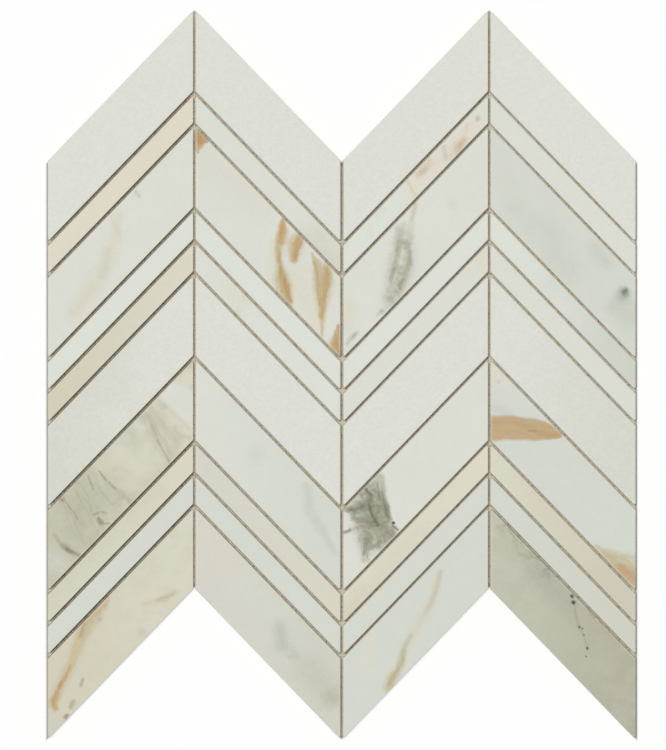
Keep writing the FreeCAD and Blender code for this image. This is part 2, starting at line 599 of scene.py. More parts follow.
@dataclass(frozen=True)
class Marble:
    """The finish of one stone: its body colour from left to right, its grain and its veins.

    Sizes and reliefs are millimetres. A pair tells where a fade is 0 and where it is 1; the pair of a
    shade is its darkest gain and what noise adds to it.
    """

    left: Tone
    right: Tone
    veins: tuple[Vein, ...] = ()
    sugar: float = 0.4
    cloud: float = 0.5
    gloss: float = 0.34
    mottle: Tone | None = None

    MOTTLE_SIZE = 9.0
    MOTTLE_SHARE = 0.6
    CRYSTAL = 1.1
    CLOUD_SIZE = 26.0
    CLOUD_GAIN = 0.06
    FINE_SIZE = 4.0
    FINE_GAIN = 0.04
    SPECKLE_GAIN = 0.05
    TURN = (0.05, 0.95)
    TURN_WANDER = 0.8
    WANDER = ((16.0, 3.6), (3.5, 0.9))
    RAGGED = 1.6
    LEAN_X = 0.35
    LEAN_Y = 0.2
    SIDE = (0.75, 0.3)
    BACK = (-0.3, -0.8)
    ARRIS = (1.5, 0.2)
    ARRIS_WANDER = 1.4
    ARRIS_SHARE = 0.35
    STAIN_AND_SHADE_REACH = (0.5, 0.15)
    SAWN_ROUGHNESS = 0.4
    UNEVEN_ROUGHNESS = 0.06
    GRAIN_SIZE = 0.7
    GRAIN_SHARE = 0.5
    POLISHED_GRAIN = 0.2
    RELIEF = 0.012
    SUGAR_RELIEF = 0.03
    REFRACTION = 1.49
    SAW_STRETCH = (0.06, 0.06, 3.0)
    SAW_SHADE = (0.94, 0.12)
    DUST_SIZE = 9.0
    DUST = (0.3, 0.7)
    DUST_SHARES = (0.45, 0.2, 0.25)
    DEEP = 2.0
    SWEEP_STRETCH = (0.08, 1.2, 1.0)
    SWEEP_SHADE = (0.86, 0.14)
    GLUE_SIZE = 7.0
    GLUE_WANDER = 3.0
    GLUE = (1.6, 0.5)
    GLUE_SHARE = 0.75

    def dress(self, stone: Stone) -> bpy.types.Material:
        """Makes the stone's material.

        Args:
            stone: the stone that it dresses

        Returns:
            The material.
        """
        material = bpy.data.materials.new(f"marble_{stone.name}")
        recipe = Recipe(material)
        place = recipe.place()
        body = self.body(recipe, stone, place)
        facing = recipe.facing()
        side = abs(facing).fade(*self.SIDE)
        back = facing.fade(*self.BACK)
        edge = stone.from_joint(recipe, place)
        ragged = recipe.noise(place, self.RAGGED, SOFT)
        arris = (edge + (ragged - MEAN) * self.ARRIS_WANDER).fade(*self.ARRIS)
        colour = recipe.mix(arris * self.ARRIS_SHARE, body, Tone.BISCUIT.linear)
        # Painted shade along the joints, set by column and from top to foot, with some glue staining in it.
        stain_and_shade_mask = stone.from_joint(recipe, place, ends=False).fade(*self.STAIN_AND_SHADE_REACH)
        colour = recipe.mix(stain_and_shade_mask * stone.stain_and_shade, colour, Tone.GRIME.linear)
        colour = recipe.mix(side, colour, self.sawn(recipe, place, body))
        colour = recipe.mix(back, colour, self.bedding(recipe, place, body))
        unpolished = (side + back).clamp()
        rough = unpolished * self.SAWN_ROUGHNESS + ragged * self.UNEVEN_ROUGHNESS + self.gloss
        grain = recipe.noise(place, self.GRAIN_SIZE, SOFT) * self.GRAIN_SHARE
        grain = grain + recipe.crystals(place, self.CRYSTAL) * (1 - self.GRAIN_SHARE)
        marks = self.saw_marks(recipe, place) * side
        depth = self.RELIEF + self.SUGAR_RELIEF * self.sugar
        normal = recipe.bump(grain * (self.POLISHED_GRAIN + unpolished) + marks, depth)
        painted = {"Base Color": colour, "Roughness": rough, "Normal": normal}
        recipe.surface({"IOR": self.REFRACTION}, painted)
        return material

    def body(self, recipe: Recipe, stone: Stone, place: Signal) -> Signal:
        """The stone's colour right through, veins and all.

        Args:
            recipe: the recipe that paints it
            stone: the stone
            place: the point

        Returns:
            The colour.
        """
        clouds = recipe.noise(place, self.CLOUD_SIZE, BROKEN)
        turn = (stone.along(recipe, place) + (clouds - MEAN) * self.TURN_WANDER).fade(*self.TURN)
        colour = recipe.mix(turn, self.left.linear, self.right.linear)
        if self.mottle:
            patches = recipe.noise(place, self.MOTTLE_SIZE, FINE).fade(*BLOTS)
            colour = recipe.mix(patches * self.MOTTLE_SHARE, colour, self.mottle.linear)
        if self.veins:
            wandering = self.wandering(recipe, stone, place)
            ragged = recipe.noise(place, self.RAGGED, BROKEN) - MEAN
            for vein in self.veins:
                colour = vein.paint(recipe, wandering, ragged, colour)
        speckle = recipe.crystals(place, self.CRYSTAL) - MEAN
        fine = recipe.noise(place, self.FINE_SIZE, FINE) - MEAN
        gain = 1 + (clouds - MEAN) * (self.CLOUD_GAIN * self.cloud)
        gain = gain + speckle * (self.SPECKLE_GAIN * self.sugar) + fine * self.FINE_GAIN
        return recipe.scaled(colour, gain)

    def wandering(self, recipe: Recipe, stone: Stone, place: Signal) -> Signal:
        """The point as the veins see it: flat on the face, and pushed about by noise.

        Args:
            recipe: the recipe that paints the veins
            stone: the stone, whose veins lean as they go down through it
            place: the point

        Returns:
            The point, with no height.
        """
        x, y, z = recipe.axes(place)
        down = stone.face - z
        laid = recipe.joined(x + down * self.LEAN_X, y + down * self.LEAN_Y, 0.0)
        for size, push in self.WANDER:
            shove = recipe.noise(place, size, SOFT, output="Color")
            centred = recipe.vector("SUBTRACT", laid, (push / 2, push / 2, 0.0))
            laid = recipe.vector("MULTIPLY_ADD", shove, (push, push, 0.0), centred)
        return laid

    def saw_marks(self, recipe: Recipe, place: Signal) -> Signal:
        """Fine level lines that the saw leaves on a stone's sides."""
        stretched = recipe.vector("MULTIPLY", place, self.SAW_STRETCH)
        return recipe.noise(stretched, 1.0, BROKEN)

    def sawn(self, recipe: Recipe, place: Signal, body: Signal) -> Signal:
        """The sawn sides, dusty and stained where they stand in a joint.

        Args:
            recipe: the recipe that paints them
            place: the point
            body: the stone's own colour

        Returns:
            The colour.
        """
        _, _, height = recipe.axes(place)
        dust = recipe.noise(place, self.DUST_SIZE, BROKEN).fade(*self.DUST)
        deep = height.fade(CAD_BOX[1].z * METRE, self.DEEP)
        everywhere, in_spots, in_the_deep = self.DUST_SHARES
        share = (everywhere + dust * in_spots + deep * in_the_deep).clamp()
        dusty = recipe.mix(share, body, Tone.SAWDUST.linear)
        least, more = self.SAW_SHADE
        return recipe.scaled(dusty, least + self.saw_marks(recipe, place) * more)

    def bedding(self, recipe: Recipe, place: Signal, body: Signal) -> Signal:
        """The sawn back, with the glue that holds the yarns.

        Args:
            recipe: the recipe that paints it
            place: the point
            body: the stone's own colour

        Returns:
            The colour.
        """
        x, y, _ = recipe.axes(place)
        sweep = recipe.noise(recipe.vector("MULTIPLY", place, self.SWEEP_STRETCH), 1.0, BROKEN)
        least, more = self.SWEEP_SHADE
        dull = recipe.scaled(body, least + sweep * more)
        warp = abs(recipe.math("PINGPONG", x + LAYOUT.mesh_pitch / 2, LAYOUT.mesh_pitch / 2))
        weft = abs(recipe.math("PINGPONG", y, LAYOUT.mesh_pitch / 2))
        spread = recipe.noise(place, self.GLUE_SIZE, BROKEN) - MEAN
        film = (warp.least(weft) + spread * self.GLUE_WANDER).fade(*self.GLUE)
        return recipe.mix(film * self.GLUE_SHARE, dull, Tone.GLUE.linear)


def stroke(
    tone: Tone,
    strength: float,
    *path: Point,
    edge: float = 1.0,
    fibre: float = 0.3,
    halo: Tone | None = None,
    lace: float = 0.0,
    patch: float = 0.0,
) -> Vein:
    """A vein, wash or spot written in one line.

    Args:
        tone: its colour
        strength: how far it covers the stone, up to 1
        path: its points, each as x, y and half width
        edge: how soft its sides are, up to 1
        fibre: how far it is broken into streaks, up to 1
        halo: the colour of the soft stain round it, where it has one
        lace: how wide the meshes are of the net of threads that it breaks up into, where it does
        patch: how wide the blots are that it breaks up into, where it does

    Returns:
        The vein.
    """
    return Vein(tone, strength, path, edge, fibre, halo, lace, patch)


SUGARY = Marble(Tone.SUGAR, Tone.SUGAR, sugar=1.0, cloud=0.5, gloss=0.38)
COOL = Marble(Tone.FROST, Tone.FROST, sugar=0.3, cloud=0.3)
COOL_SHADED = Marble(Tone.HAZE, Tone.HAZE, sugar=0.3, cloud=0.3)

VEINED: dict[tuple[int, int], Marble] = {
    # First column, from the top.
    (1, 2): Marble(Tone.CREAM, Tone.CREAM),
    (1, 3): Marble(Tone.CHALK, Tone.CHALK, veins=(
        stroke(
            Tone.STRAW, 0.28, (-110.5, 79, 2), (-114, 64, 3.4), (-117, 53, 4), (-123, 43, 4.4),
            (-132, 31, 3.6)
        ),
        stroke(Tone.PALE_SAGE, 0.35, (-116.4, 62, 1.6), (-117, 55, 2.2), (-118, 49, 1.8)),
        stroke(Tone.FAWN, 0.1, (-114, 78, 1), (-111, 70, 1.2)),
        stroke(Tone.ROSE, 0.12, (-109, 79, 1), (-110.5, 68, 1.2)),
        stroke(Tone.ROSE, 0.14, (-123, 43, 3), (-132, 31.5, 3)),
        stroke(Tone.RUST, 0.25, (-102.5, 90.5, 1), (-101.5, 88.5, 1), edge=0.9),
    )),
    (1, 5): Marble(Tone.BUTTER, Tone.IVORY),
    # Left end painted darker: painted shade where the light falls off at the sheet's side.
    (1, 6): Marble(Tone.GREY_SUGAR, Tone.SUGAR, sugar=1.0, gloss=0.38),
    (1, 7): Marble(Tone.PUTTY, Tone.PARCHMENT, mottle=Tone.SAGE, veins=(
        stroke(Tone.SAGE, 0.5, (-133, -72, 6), (-120, -62, 8), (-110, -60, 5), fibre=0.7),
        stroke(Tone.BUTTER, 0.9, (-116, -44, 6), (-100, -48, 8)),
        stroke(Tone.PARCHMENT, 0.7, (-112, -36, 5), (-101, -44, 6)),
        stroke(Tone.PARCHMENT, 0.6, (-99, -28, 4), (-96, -38, 4)),
        stroke(Tone.PALE_LILAC, 0.7, (-144, -92, 6), (-138, -95, 5)),
        stroke(Tone.OATMEAL, 0.9, (-93, -18, 4), (-88, -28, 5), (-84, -38, 4), fibre=0.6),
        stroke(Tone.CHALK, 0.9, (-84, -9, 5.5), (-77, -14, 7), (-71, -21, 5.5), edge=0.3, fibre=0.0),
        stroke(Tone.ROSE, 0.35, (-84, -18, 1), (-79.5, -22.5, 1.1), (-75.2, -27, 1)),
        stroke(Tone.OLIVE, 0.28, (-97, -17, 3), (-91, -30, 3.6), (-86, -41, 2.4), fibre=0.7),
        stroke(Tone.UMBER, 0.35, (-91, -32, 0.5), (-87.6, -39.5, 0.6), (-85.3, -43.4, 0.5)),
        stroke(Tone.UMBER, 0.16, (-96, -19, 0.5), (-94, -25, 0.9), (-91.6, -30, 0.7)),
        stroke(Tone.OLIVE, 0.15, (-93.2, -16.9, 0.9), (-88.1, -24.1, 1.2), (-81.7, -33.4, 0.9)),
        stroke(Tone.MOSS, 0.35, (-137, -62, 4), (-130, -70, 5), (-124, -80, 4), patch=5.0),
        stroke(Tone.MOSS, 0.3, (-124, -52, 4), (-116, -58, 5), (-110, -64, 4), patch=5.0),
        stroke(Tone.PEAT, 0.12, (-125, -48, 2.6), (-118, -57, 4), (-111, -66, 2.6), fibre=1.0),
        stroke(Tone.OLIVE, 0.28, (-131, -54, 2.6), (-125, -65, 4), (-120, -76, 3), fibre=1.0),
        stroke(Tone.RUST, 0.14, (-139, -60, 2), (-133, -70, 3.4), (-128, -80, 2.4), fibre=1.0),
        stroke(Tone.UMBER, 0.4, (-125.4, -49.9, 0.4), (-124.3, -53, 0.7), (-122.8, -56.4, 0.5)),
        stroke(Tone.UMBER, 0.5, (-119.7, -47.7, 0.4), (-117.8, -50, 0.6), (-116.1, -52, 0.4)),
        stroke(Tone.UMBER, 0.35, (-115, -53, 0.5), (-112.5, -55.6, 0.7)),
        stroke(Tone.RUST, 0.22, (-112.5, -55.6, 1), (-108.9, -59.2, 1.3), (-105.3, -62.8, 1)),
        stroke(Tone.RUST, 0.3, (-138.3, -60.4, 0.6), (-136.1, -63.5, 0.7), (-134, -67.1, 0.6)),
        stroke(Tone.UMBER, 0.65, (-139.5, -61.4, 0.8), (-138.4, -62, 0.6)),
        stroke(Tone.UMBER, 0.3, (-132.6, -68, 0.5), (-131.4, -72, 0.6)),
        stroke(Tone.UMBER, 0.55, (-122.8, -69.8, 0.6), (-120.6, -69, 0.5)),
        stroke(Tone.UMBER, 0.35, (-119, -68.6, 0.5), (-116.4, -68.9, 0.5)),
        stroke(Tone.UMBER, 0.7, (-120.6, -71.6, 0.7), (-119.4, -73.2, 1.1)),
        stroke(Tone.UMBER, 0.5, (-118, -73.8, 0.7), (-115.4, -74.2, 0.5)),
        stroke(Tone.UMBER, 0.35, (-142.6, -79, 0.8), (-139.7, -83, 0.9), (-135.5, -85, 1.2)),
        stroke(
            Tone.UMBER, 0.5, (-139, -84.2, 0.7), (-136.6, -85.9, 1.1), (-133.3, -87.6, 1.3),
            (-129.9, -89, 0.8), halo=Tone.SAGE
        ),
        stroke(Tone.PEAT, 0.5, (-136.4, -85.6, 0.5), (-135, -87, 0.9)),
        stroke(Tone.PEAT, 0.4, (-133.2, -87.4, 0.7)),
    )),
    (1, 8): Marble(Tone.PARCHMENT, Tone.IVORY, veins=(
        stroke(Tone.SEDGE, 0.95, (-146, -112, 8), (-120, -84, 7), (-94, -57, 6)),
    )),
    (1, 10): Marble(Tone.BUTTER, Tone.PARCHMENT, mottle=Tone.BUTTER, veins=(
        stroke(Tone.LILAC, 0.8, (-146, -172, 6), (-141, -178, 5)),
        stroke(
            Tone.DUST, 0.8, (-118, -114, 2), (-124, -121, 4), (-128, -128, 3), (-132, -137, 2.6),
            (-136, -147, 2.4), (-141, -158, 2.4)
        ),
        stroke(
            Tone.SAND, 0.85, (-119, -115, 1), (-124.5, -121.5, 2.6), (-128, -128.5, 2), (-131.5, -137, 1.6),
            (-135, -145, 1.2), (-138.8, -153, 1.2), (-142, -161, 1.8)
        ),
        stroke(Tone.GOLD, 0.6, (-115.7, -110.2, 0.8), (-118, -114.5, 0.9)),
        stroke(Tone.OLIVE, 0.5, (-127, -123, 0.7), (-128.4, -127.5, 0.7), (-129.4, -131, 0.5)),
        stroke(Tone.STRAW, 0.8, (-129, -131, 0.9), (-133, -140, 1), (-136.4, -148, 0.9)),
        stroke(Tone.HONEY, 0.8, (-134.6, -144, 0.6), (-137, -149.6, 0.9), (-139.4, -154.4, 1.1)),
        stroke(Tone.HONEY, 0.95, (-141, -157.5, 1), (-143, -162.6, 2), (-141.6, -165, 1.2)),
        stroke(Tone.GOLD, 0.6, (-142.2, -160.6, 1), (-142.8, -163.4, 1.4)),
        stroke(Tone.OCHRE, 0.5, (-139.2, -152.4, 0.7), (-140.4, -156, 0.7)),
        stroke(Tone.OLIVE, 0.7, (-128.3, -150.5, 0.7), (-129, -153.5, 0.8)),
        stroke(Tone.OLIVE, 0.6, (-132.8, -161.6, 1), (-134, -164.4, 0.9)),
        stroke(Tone.UMBER, 0.75, (-136.3, -168.4, 0.7), (-137.3, -169.8, 0.9)),
        stroke(Tone.DUST, 0.5, (-97, -114, 1.4), (-89, -111.5, 2), (-82, -107.6, 1.4)),
        stroke(Tone.FAWN, 0.4, (-91, -112.2, 0.8), (-87.5, -110.8, 1.1), (-82.6, -108.2, 0.6)),
        stroke(Tone.OLIVE, 0.2, (-99, -127.5, 2)),
        stroke(Tone.SLATE, 0.3, (-119.8, -121.5, 1)),
    )),
    # Second column, from the top.
    (2, 2): Marble(Tone.CHALK, Tone.CHALK, veins=(
        stroke(Tone.OATMEAL, 0.6, (-14, 66, 8), (-3, 54, 8)),
    )),
    (2, 3): Marble(Tone.CHALK, Tone.CHALK, veins=(
        stroke(Tone.PARCHMENT, 0.6, (-68, 106, 9), (-40, 86, 8)),
        stroke(Tone.PARCHMENT, 0.8, (-34, 66, 2), (-33.6, 48, 2.5), (-31, 40, 2.5)),
        stroke(Tone.IVORY, 0.8, (-21, 50, 6), (-18, 40, 7), (-12, 24, 4)),
        stroke(Tone.LILAC, 0.5, (-28.4, 61, 1.2), (-27.4, 57, 1.2)),
        stroke(
            Tone.GOLD, 0.85, (-72.2, 120, 1.6), (-71.6, 115, 2), (-71.6, 110.6, 0.7), edge=0.5, fibre=0.0
        ),
        stroke(Tone.GOLD, 0.85, (-70, 114.4, 1.7), edge=0.5),
        stroke(
            Tone.OCHRE, 0.85, (-71, 119.4, 1.2), (-69.6, 117, 2.6), (-66.6, 115.8, 0.8), edge=0.5, fibre=0.0
        ),
        stroke(Tone.AMBER, 0.3, (-70.4, 116.4, 2)),
        stroke(
            Tone.SAND, 0.95, (-28.7, 77.5, 0.9), (-29.3, 73, 1.8), (-29.5, 68.5, 2.3), (-31, 62.5, 1.8),
            (-31.2, 57.5, 1.5), (-30.6, 53, 1.9), (-29.4, 48, 3.2), (-28.4, 43, 3.4), (-26.8, 38, 2.4),
            (-25, 34.5, 0.9), edge=0.7, halo=Tone.PARCHMENT
        ),
        stroke(Tone.HONEY, 0.95, (-28.7, 76.5, 1), (-29.2, 71, 2), (-29.4, 66, 1.9)),
        stroke(Tone.AMBER, 0.45, (-29, 73, 1), (-29.4, 67, 1.2)),
        stroke(Tone.HONEY, 0.5, (-30.6, 62, 0.9), (-31.2, 56, 0.9)),
        stroke(Tone.HONEY, 0.9, (-30.5, 53, 0.8), (-29.2, 48, 1.8), (-27.6, 42, 2.1), (-25.6, 36.5, 1.1)),
        stroke(Tone.OCHRE, 0.6, (-28.2, 47, 0.7), (-26.8, 42, 0.9), (-25, 36.5, 0.7)),
        stroke(Tone.OCHRE, 0.4, (-30.4, 60, 0.5), (-30.8, 55, 0.5), (-29.8, 49, 0.6)),
        stroke(
            Tone.SAND, 0.9, (-19.8, 70.6, 1.7), (-22.4, 66.5, 3.3), (-23.2, 61.5, 2.8), (-23.6, 56.5, 1.7),
            edge=0.7, halo=Tone.PARCHMENT
        ),
        stroke(Tone.HONEY, 0.9, (-20.4, 69.5, 1.2), (-22.2, 64, 1.8), (-23.4, 57.5, 1.3)),
        stroke(Tone.OCHRE, 0.45, (-19.4, 69, 0.5), (-21, 63, 0.6), (-22.6, 57, 0.5)),
        stroke(Tone.ROSE, 0.5, (-25.4, 65, 1.2), (-25, 61, 1)),
        stroke(Tone.SAND, 0.9, (-14.6, 60.5, 0.7), (-13.9, 57, 0.7), (-12.6, 51, 0.8)),
        stroke(
            Tone.SAND, 0.95, (-7.6, 53.4, 1.8), (-8.6, 49.8, 3.5), (-9, 45, 3.4), (-9.3, 40, 2.9),
            (-9.3, 35.1, 2.4), (-9.4, 30.3, 1.7), (-9.5, 25.4, 0.9), (-9.7, 19.5, 0.5), edge=0.8,
            halo=Tone.PARCHMENT
        ),
        stroke(Tone.DUST, 0.9, (-14, 58.6, 1), (-12, 55, 2.2), (-10.6, 49, 2.4), edge=0.7, fibre=0.1),
        stroke(Tone.SAND, 0.6, (-13, 56, 1.2), (-11.2, 52, 2), (-10.4, 46, 2), fibre=0.4),
        stroke(Tone.HONEY, 0.75, (-7.3, 52, 1.2), (-8, 45, 1.7), (-8.8, 37, 1.4), (-9.4, 29, 0.9)),
        stroke(Tone.OCHRE, 0.5, (-13.4, 56, 0.4), (-11.4, 48, 0.6), (-11.2, 42, 0.6), (-10.6, 35, 0.5)),
        stroke(Tone.OCHRE, 0.35, (-6.6, 50, 0.5), (-7, 44, 0.6), (-8, 36, 0.5)),
        stroke(
            Tone.HONEY, 0.95, (-1, 24.5, 1), (-1.8, 19, 2.1), (-2.6, 15, 3.2), (-1.2, 10.5, 3), edge=0.6
        ),
        stroke(Tone.AMBER, 0.2, (-1.6, 18, 1), (-2.4, 14.5, 1.7), (-1, 11, 1.4)),
        stroke(Tone.OCHRE, 0.4, (-1.4, 19, 0.9), (-1.6, 15, 1.4), (-0.8, 11, 1.4)),
    )),
    (2, 5): Marble(Tone.CHALK, Tone.FROST, veins=(
        stroke(Tone.STRAW, 0.35, (-48, 38, 1.8)),
        stroke(Tone.STRAW, 0.35, (-51.5, 31, 1.6)),
        stroke(Tone.IVORY, 0.6, (-56, 44, 4), (-50, 38, 4)),
    )),
    (2, 7): Marble(Tone.CHALK, Tone.MIST, veins=(
        stroke(Tone.SLATE, 0.2, (-18, -55, 2), (-15.5, -67, 2.6), (-8, -80, 2), (-4, -88, 1.6)),
        stroke(Tone.SLATE, 0.1, (-43, -39.5, 4)),
    )),
    (2, 8): Marble(Tone.PALE_LILAC, Tone.PARCHMENT),
    (2, 10): Marble(Tone.PALE_LILAC, Tone.PALE_ASH, veins=(
        stroke(Tone.BISCUIT, 0.3, (-68, -80, 7), (-52, -98, 8)),
        stroke(Tone.HAZE, 0.6, (-46, -106, 9), (-34, -118, 8)),
        stroke(Tone.SLATE, 0.3, (-31, -125, 3), (-29, -134, 3.5)),
        stroke(Tone.MOSS, 0.35, (-16, -146, 6), (-6, -158, 6)),
        stroke(Tone.SLATE, 0.2, (-23, -138.5, 2.5)),
        stroke(Tone.AMBER, 0.2, (-25.5, -140, 1.2)),
        stroke(Tone.OLIVE, 0.25, (-5, -160, 4)),
    )),
    # Third column, from the top.
    (3, 2): Marble(Tone.FROST, Tone.CHALK, veins=(
        stroke(Tone.BISCUIT, 0.6, (35, 91, 2.5), (43, 102, 5), (54, 111, 5), (66, 124, 3)),
        stroke(Tone.ROSE, 0.15, (13.8, 73.5, 1.2), (14.7, 68.9, 1.2)),
        stroke(Tone.ROSE, 0.25, (17.6, 80, 1.6), (20, 83, 1.6)),
        stroke(Tone.STRAW, 0.5, (33, 95.6, 0.9), (34.4, 92, 1), (36.6, 88.6, 1.1)),
        stroke(Tone.ROSE, 0.6, (38.6, 99, 2), (41, 102, 2.4), (44, 105.6, 1.6)),
        stroke(Tone.DOVE, 0.4, (39.8, 100.4, 1.2), (42, 101.6, 1)),
        stroke(Tone.SAGE, 0.6, (50.4, 113, 1), (51.5, 107.6, 1.2)),
        stroke(Tone.ROSE, 0.45, (53.4, 108, 1.8), (55.6, 110.6, 1.8)),
        stroke(Tone.ROSE, 0.8, (58, 113, 1.9), (60.6, 116.2, 1.7)),
        stroke(Tone.SAND, 0.5, (58, 112, 1.6), (60, 115, 1.4)),
        stroke(Tone.DOVE, 0.3, (59, 113.6, 1)),
        stroke(Tone.ROSE, 0.3, (62, 124, 0.9), (61.6, 120, 0.9)),
        stroke(Tone.SLATE, 0.45, (67.5, 127.2, 1.2), edge=0.9),
    )),
    (3, 3): Marble(Tone.CHALK, Tone.CHALK, veins=(
        stroke(
            Tone.ASH, 0.85, (30.5, 69, 2.6), (30.5, 60, 4), (29.5, 52, 4.4), (28, 44, 4), (25.5, 36, 3.6),
            fibre=0.2, halo=Tone.PALE_ASH
        ),
        stroke(Tone.STRAW, 0.5, (36.9, 85.2, 0.9), (36.3, 82, 1.2)),
        stroke(Tone.SAGE, 0.6, (36.8, 84, 0.9), (36, 80.6, 1.3), (35.4, 77.6, 1)),
        stroke(Tone.PALE_SAGE, 0.6, (35, 76, 1.3), (34.2, 71, 1.6), (33.4, 66, 1.5)),
        stroke(Tone.SAGE, 0.6, (31, 74.6, 1.2), (29.6, 70, 1.4)),
        stroke(
            Tone.SAGE, 0.75, (27.7, 73, 1.2), (28.4, 65.7, 1.7), (27.7, 56.3, 1.7), (25.6, 50.8, 1.5),
            (25.5, 44, 1.5), (24, 37, 2.2)
        ),
        stroke(Tone.SAGE, 0.6, (29, 65, 1.6), (32, 64, 1.8)),
        stroke(Tone.MOSS, 0.8, (28.3, 66, 0.9), (27.6, 60, 1), (27.4, 56, 1.2), (25.8, 51.5, 1)),
        stroke(
            Tone.MOSS, 0.9, (32.8, 63.5, 0.9), (33.3, 57.8, 1.5), (32.4, 51, 1.6), (31, 46.5, 1.4),
            (29, 42, 1)
        ),
        stroke(Tone.DOVE, 0.7, (33.6, 61, 0.8), (33.6, 55, 1)),
        stroke(Tone.SAGE, 0.7, (29.6, 53, 2), (30, 47, 2), (27, 41, 2)),
        stroke(Tone.FOG, 0.4, (30.5, 66, 3.4), (29.6, 55, 4.4), (27.4, 44, 4), (25, 36, 3), patch=3.0),
        stroke(Tone.LICHEN, 0.45, (26, 52, 0.7), (25.1, 48, 0.9)),
        stroke(Tone.LICHEN, 0.4, (30.6, 47.4, 0.7), (29, 43, 0.8)),
        stroke(Tone.OLIVE, 0.3, (28.4, 66, 0.9), (32, 65.4, 1)),
        stroke(Tone.CHALK, 0.6, (29.8, 61.6, 0.8), (30.1, 58.6, 1.1), (29.2, 55, 0.9)),
        stroke(Tone.CHALK, 0.4, (27.8, 49, 0.9)),
        stroke(Tone.SLATE, 0.1, (54.4, 84.3, 2.2)),
        stroke(Tone.RUST, 0.2, (20, 31, 1.4)),
        stroke(Tone.STRAW, 0.25, (3.5, 34, 3), (3, 24, 3)),
        stroke(Tone.LICHEN, 0.3, (8, 21, 1.2), (5.6, 18.4, 1.5), (3, 15.6, 1)),
        stroke(Tone.UMBER, 0.35, (7.2, 19.9, 0.7), (6.2, 18.6, 0.6)),
        stroke(Tone.LICHEN, 0.3, (19.8, 31.4, 0.9), (17.8, 29.2, 0.7)),
    )),
    (3, 5): Marble(Tone.CHALK, Tone.CHALK, veins=(
        stroke(Tone.CREAM, 0.8, (71, 58, 5)),
    )),
    (3, 7): Marble(Tone.CHALK, Tone.CHALK, veins=(
        stroke(
            Tone.MOSS, 0.9, (1.6, -66.5, 1.4), (7, -67, 3.6), (12, -65, 6.5), (14.5, -69, 8),
            (15, -75, 7.5), (19, -79, 6), edge=0.6
        ),
        stroke(
            Tone.MOSS, 0.85, (18.5, -51, 2.4), (18.5, -57, 4.4), (19, -64, 5.4), (19.5, -72, 5.2),
            (22.5, -78, 4.4), edge=0.5
        ),
        stroke(Tone.MOSS, 0.85, (12.2, -78, 4.4), (12.5, -84, 3.8), (12, -91, 2), fibre=0.5),
        stroke(Tone.MOSS, 0.8, (17, -82, 3.6), (23, -79.5, 4)),
        stroke(Tone.ASH, 0.8, (8.8, -61.8, 2), (12, -58.6, 1.6), (14, -55, 1.4)),
        stroke(
            Tone.FOG, 0.95, (2, -66.4, 1), (6.4, -66.8, 2.4), (10.6, -65.6, 2.2), (13, -62, 1.2), fibre=0.4
        ),
        stroke(Tone.FOG, 0.8, (6, -71.5, 1), (9, -72, 1.6), (13, -72.2, 1.9), (15.6, -72.6, 1)),
        stroke(
            Tone.FOG, 0.8, (17, -58, 1), (19.8, -61.5, 1.8), (21.6, -65, 1.5), (22.6, -71, 1), fibre=0.4
        ),
        stroke(Tone.FOG, 0.9, (12.6, -81.4, 1.4), (12.3, -84.5, 2), (11.6, -88, 1.2)),
        stroke(Tone.FOG, 0.9, (22.2, -77.4, 1.2), (24.8, -78.9, 2.2)),
        stroke(Tone.FOG, 0.45, (14, -58, 4), (16, -68, 7), (17, -78, 6)),
        stroke(Tone.FOG, 0.8, (12, -58, 5), (17, -70, 7), (17, -80, 6), patch=4.0),
        stroke(Tone.OLIVE, 0.45, (21.9, -66, 0.8), (22.3, -71, 1)),
        stroke(Tone.LICHEN, 0.4, (8, -66, 4), (14, -63, 6), (19, -71, 6), (16, -80, 5), lace=5.0),
        stroke(
            Tone.CHALK, 1.0, (25.5, -49, 4), (27, -58, 4.4), (28.4, -66, 4.4), (29.4, -71, 4.4),
            (32.4, -75, 4), edge=0.22, fibre=0.0
        ),
        stroke(Tone.PEAT, 0.35, (3, -66.2, 0.6), (6, -67, 0.8), (9, -65.6, 0.7), (11.4, -64.4, 0.7)),
        stroke(Tone.RUST, 0.35, (9.8, -58.9, 0.9), (12, -57, 1.1)),
        stroke(
            Tone.PEAT, 0.6, (12.4, -57, 0.6), (14.6, -60, 0.7), (13.8, -64, 0.7), (14.7, -68.5, 0.6),
            (16.1, -71.6, 0.7), (17.8, -74.2, 0.6)
        ),
        stroke(Tone.OLIVE, 0.5, (13.4, -60, 0.9), (15, -63.6, 1.2)),
        stroke(Tone.RUST, 0.25, (8.6, -72.6, 0.9), (15.6, -72.9, 0.9)),
        stroke(Tone.RUST, 0.3, (4.6, -76.6, 0.6), (9.2, -75, 0.8), (15.2, -75, 0.7)),
        stroke(Tone.PEAT, 0.35, (17.8, -54, 0.5), (19, -58, 0.5), (18.6, -62, 0.5)),
        stroke(Tone.PEAT, 0.4, (20.5, -58.5, 0.5), (21.4, -64, 0.6), (22.4, -70, 0.5)),
        stroke(Tone.PEAT, 0.3, (23.2, -64, 0.6), (23.3, -68, 0.6)),
        stroke(Tone.PEAT, 0.95, (25.5, -73.3, 0.8), edge=0.5),
        stroke(Tone.PEAT, 0.65, (25.4, -74.8, 0.5), (28.2, -77.2, 0.5), edge=0.8),
        stroke(Tone.UMBER, 0.75, (1.6, -77.9, 0.9), (4.2, -77, 0.8), edge=0.9),
        stroke(Tone.PARCHMENT, 0.5, (16.2, -80.2, 0.8), (16.4, -82.4, 0.9)),
        stroke(Tone.UMBER, 0.3, (21.2, -81, 0.5), (20.8, -83.5, 0.5), (23.8, -80.6, 0.4)),
        stroke(Tone.SLATE, 0.4, (12.9, -89.4, 0.5), (14.2, -91.2, 0.5)),
    )),
    (3, 8): Marble(Tone.CUSTARD, Tone.CUSTARD, veins=(
        stroke(Tone.BUTTER, 0.9, (2, -120, 5), (12, -109, 5)),
        stroke(Tone.BUTTER, 0.4, (20, -100, 6), (40, -80, 6)),
    )),
    (3, 10): Marble(Tone.MIST, Tone.MIST, veins=(
